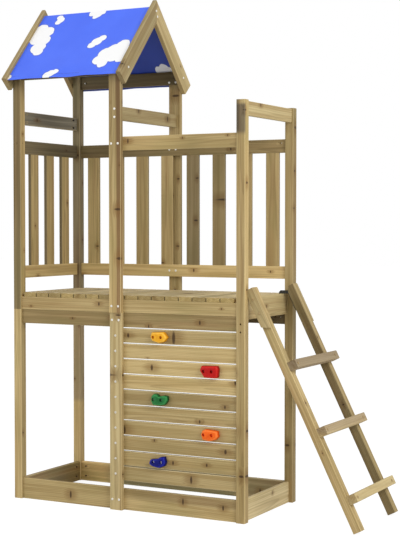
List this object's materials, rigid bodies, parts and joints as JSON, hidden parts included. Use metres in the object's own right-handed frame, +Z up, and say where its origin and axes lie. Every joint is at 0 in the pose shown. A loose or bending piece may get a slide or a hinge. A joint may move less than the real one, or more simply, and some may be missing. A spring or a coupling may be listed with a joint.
{
  "type": "wooden climbing frame",
  "caption": "Wooden children's climbing frame: raised deck on posts with tent roof over one bay, climbing wall with bolted holds below, slatted fences and a leaning ladder.",
  "frame": {"origin": "on the ground, at the middle of the footprint from the left rafters to the ladder's feet", "axes": "+X along the length towards the ladder, +Y from the open front to the back fence, +Z up"},
  "size_m": [1.6046, 0.606, 2.1301],
  "materials": {
    "pine": "sawn, pressure-treated",
    "pine_shade": "sawn, pressure-treated",
    "pine_pale": "sawn, pressure-treated",
    "screw_steel": "zinc-plated",
    "hook_steel": "dark, satin",
    "roof_fabric": "coated sheet with pale clouds",
    "hold_yellow": "moulded resin",
    "hold_red": "moulded resin",
    "hold_green": "moulded resin",
    "hold_orange": "moulded resin",
    "hold_blue": "moulded resin"
  },
  "bodies": {
    "root": {"post_fl_lower": "pine", "post_fl_upper": "pine", "post_fr": "pine", "base_front": "pine", "base_back": "pine", "base_right": "pine", "rim_front": "pine", "rim_back": "pine", "rim_left": "pine", "deck_boards": "pine", "wall_boards": "pine", "handrail_front": "pine", "fence_back_top": "pine", "fence_back_low": "pine", "fence_back_slats": "pine", "fence_left_top": "pine", "fence_left_low": "pine", "fence_left_slats": "pine", "bar_left": "pine", "bar_right": "pine", "eave_front": "pine", "ridge_beam": "pine", "rafter_rb": "pine", "stringer_back": "pine", "post_bl_lower": "pine_shade", "post_bl_upper": "pine_shade", "post_bc": "pine_shade", "post_br": "pine_shade", "base_left": "pine_shade", "beam_front": "pine_shade", "beam_back": "pine_shade", "beam_left": "pine_shade", "eave_back": "pine_shade", "rafter_lb": "pine_shade", "post_fc_lower": "pine_pale", "post_fc_upper": "pine_pale", "rim_right": "pine_pale", "bar_middle": "pine_pale", "rafter_lf": "pine_pale", "rafter_rf": "pine_pale", "stringer_front": "pine_pale", "ladder_rungs": "pine_pale", "ladder_cheeks": "pine_pale", "splice_dowels": "pine_pale", "frame_screws": "screw_steel", "wall_screws": "screw_steel", "base_screws": "screw_steel", "rail_screws": "screw_steel", "hold_bolts": "screw_steel", "ladder_screws": "screw_steel", "deck_screws": "screw_steel", "ladder_hooks": "hook_steel", "roof_sheet": "roof_fabric", "hold_yellow": "hold_yellow", "hold_red": "hold_red", "hold_green": "hold_green", "hold_orange": "hold_orange", "hold_blue": "hold_blue"}
  },
  "joints": []
}
